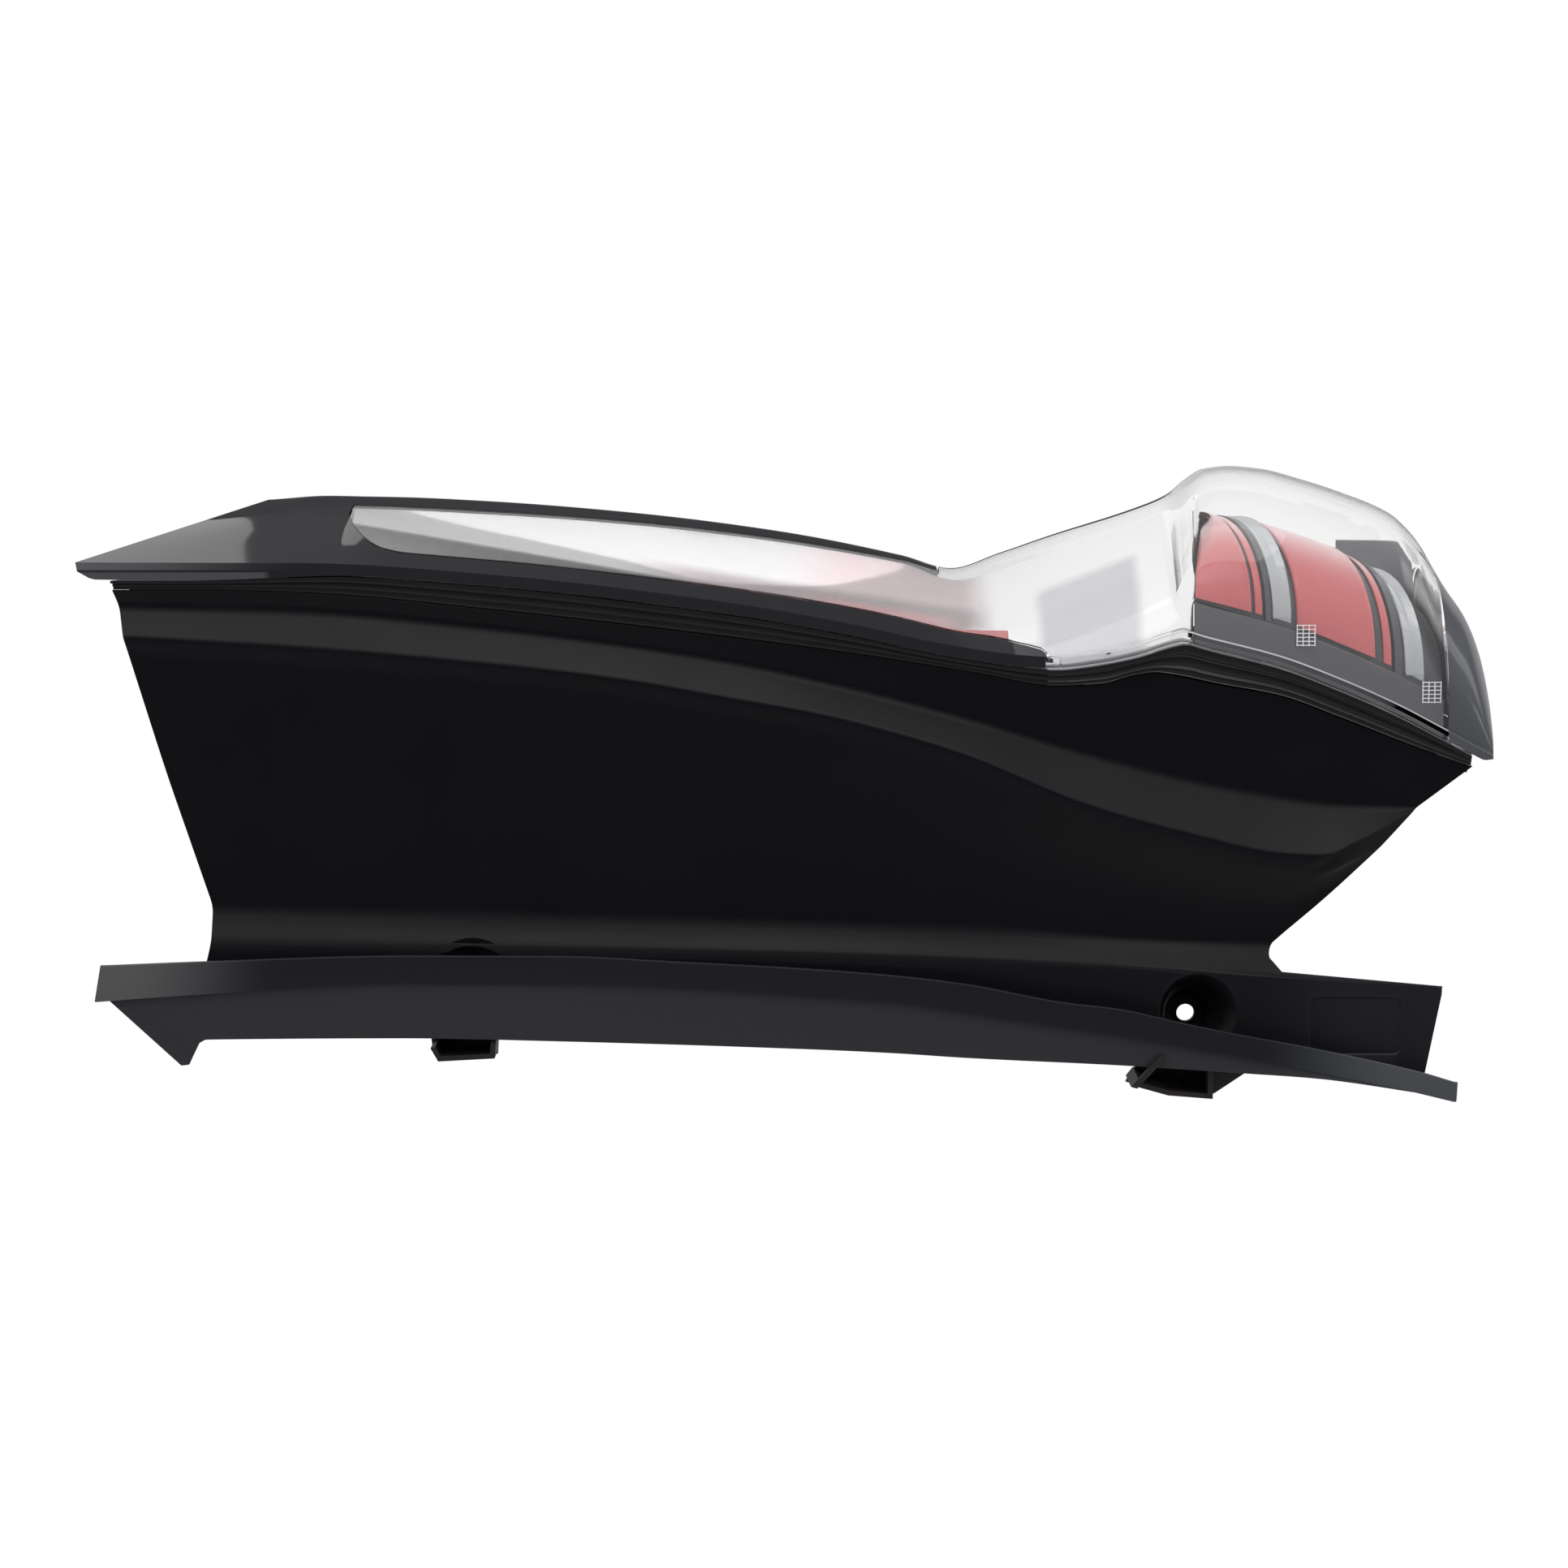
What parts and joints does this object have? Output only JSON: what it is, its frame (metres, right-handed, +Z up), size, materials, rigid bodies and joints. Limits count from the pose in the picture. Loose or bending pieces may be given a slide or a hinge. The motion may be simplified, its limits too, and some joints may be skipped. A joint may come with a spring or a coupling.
{
  "type": "rear combination lamp",
  "caption": "Rear combination lamp with a clear bulged lens, gloss black frame and a grained black body-side trim panel with two bolt pockets.",
  "frame": {"origin": "centre of the upper bolt hole in the trim panel, in the middle of the pocket floor", "axes": "+X along the lamp towards the bulged end, which is the vehicle's up direction; +Y across the lamp, outboard, away from the viewer of the picture; +Z up out of the lens, which is the vehicle's rearward direction"},
  "size_m": [0.5703, 0.1707, 0.2467],
  "materials": {
    "clear_lens": "polished clear moulding",
    "gloss_black": "polished",
    "smoked_cap": "gloss grey",
    "black_housing": "moulded matte",
    "grained_panel": "fine grain",
    "bright_reflector": "bright metallised",
    "grey_bezel": "satin dark grey",
    "red_cover": "translucent red",
    "frosted_optic": "ribbed clear",
    "circuit_board": "solder mask",
    "chip_yellow": "phosphor",
    "bare_aluminium": "cast",
    "amber_bulb": "clear amber",
    "black_fitting": "moulded",
    "seal_rubber": "soft matte",
    "contact_brass": "bright",
    "coated_steel": "black coating, a little worn",
    "clip_natural": "natural"
  },
  "bodies": {
    "root": {"outer_lens": "clear_lens", "gloss_garnish": "gloss_black", "end_cap": "smoked_cap", "rear_housing": "black_housing", "side_panel": "grained_panel", "chrome_bezel": "bright_reflector", "bulge_bezel": "grey_bezel", "red_reflex_strip": "red_cover", "red_inner_lens_1": "red_cover", "red_inner_lens_2": "red_cover", "light_bar_1": "frosted_optic", "light_bar_2": "frosted_optic", "optic_pad_1": "frosted_optic", "optic_pad_2": "frosted_optic", "led_board_1": "circuit_board", "led_board_2": "circuit_board", "led_chips": "chip_yellow", "heat_sink_1": "bare_aluminium", "heat_sink_2": "bare_aluminium", "turn_bulb": "amber_bulb", "turn_socket": "black_fitting", "turn_seal": "seal_rubber", "driver_module": "bare_aluminium", "connector_socket": "black_fitting", "connector_pins": "contact_brass", "vent_cap": "black_fitting", "body_seal": "seal_rubber", "locating_pin_1": "black_fitting", "locating_pin_2": "black_fitting", "fixing_bracket_1": "coated_steel", "fixing_bracket_2": "coated_steel", "panel_clips": "clip_natural"}
  },
  "joints": []
}
